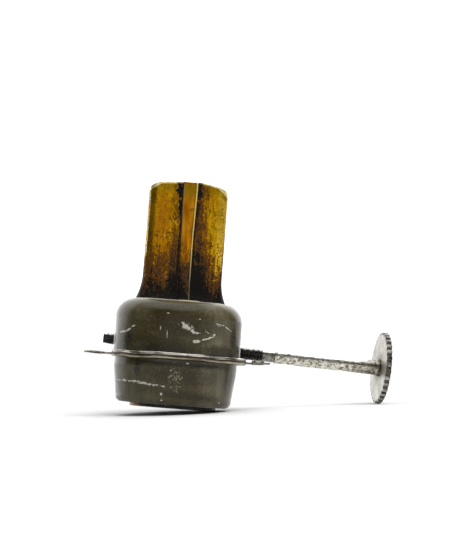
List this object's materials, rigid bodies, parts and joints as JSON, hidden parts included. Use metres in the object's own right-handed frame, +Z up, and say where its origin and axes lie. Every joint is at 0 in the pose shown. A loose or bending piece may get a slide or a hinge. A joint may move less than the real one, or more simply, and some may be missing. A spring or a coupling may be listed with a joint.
{
  "type": "flat-wick lamp burner",
  "caption": "Flat-wick burner: an upright brass wick tube on a crimped two-shell drum with an eared flange, and a side winder shaft with a thumb wheel.",
  "frame": {"origin": "centre of the wick path in the plane of the foot disc's underside", "axes": "+Z up the wick tube, +X towards the thumb wheel, in the plane of the winder shaft's run, -Y out of the face with the seam strip"},
  "size_m": [0.1051, 0.045, 0.0757],
  "materials": {
    "tube_brass": "worn satin brass, sooted at the foot",
    "cog_brass": "dull brass",
    "drum_paint": "chipped satin olive-grey paint",
    "flange_steel": "worn bare steel",
    "black_steel": "blackened steel",
    "winder_steel": "pitted bare steel",
    "inner_steel": "dull steel",
    "packing": "greased fibre packing"
  },
  "bodies": {
    "burner": {"upper_shell": "drum_paint", "lower_shell": "drum_paint", "flange_plate": "flange_steel", "ear_eyelets": "flange_steel", "foot_disc": "black_steel", "wick_tube": "tube_brass", "seam_strip": "tube_brass", "tube_skirt": "tube_brass", "end_bearing": "black_steel", "end_lock_nut": "inner_steel", "gland_body": "inner_steel", "gland_lock_nut": "inner_steel", "gland_washer": "black_steel", "gland_packing": "packing", "gland_nut": "black_steel"},
    "winder": {"winder_spindle": "winder_steel", "cog_left": "cog_brass", "cog_right": "cog_brass", "cog_spacer": "inner_steel", "stem_collar": "winder_steel", "stem_sleeve": "winder_steel", "wheel_hub": "winder_steel", "thumb_wheel": "winder_steel", "end_washer": "winder_steel"}
  },
  "joints": [
    {"name": "winder_turn", "type": "hinge", "parent": "burner", "child": "winder", "pos_m": [0, 0.006, 0.02113], "axis": [0.9995, 0, -0.0323], "continuous": true}
  ]
}
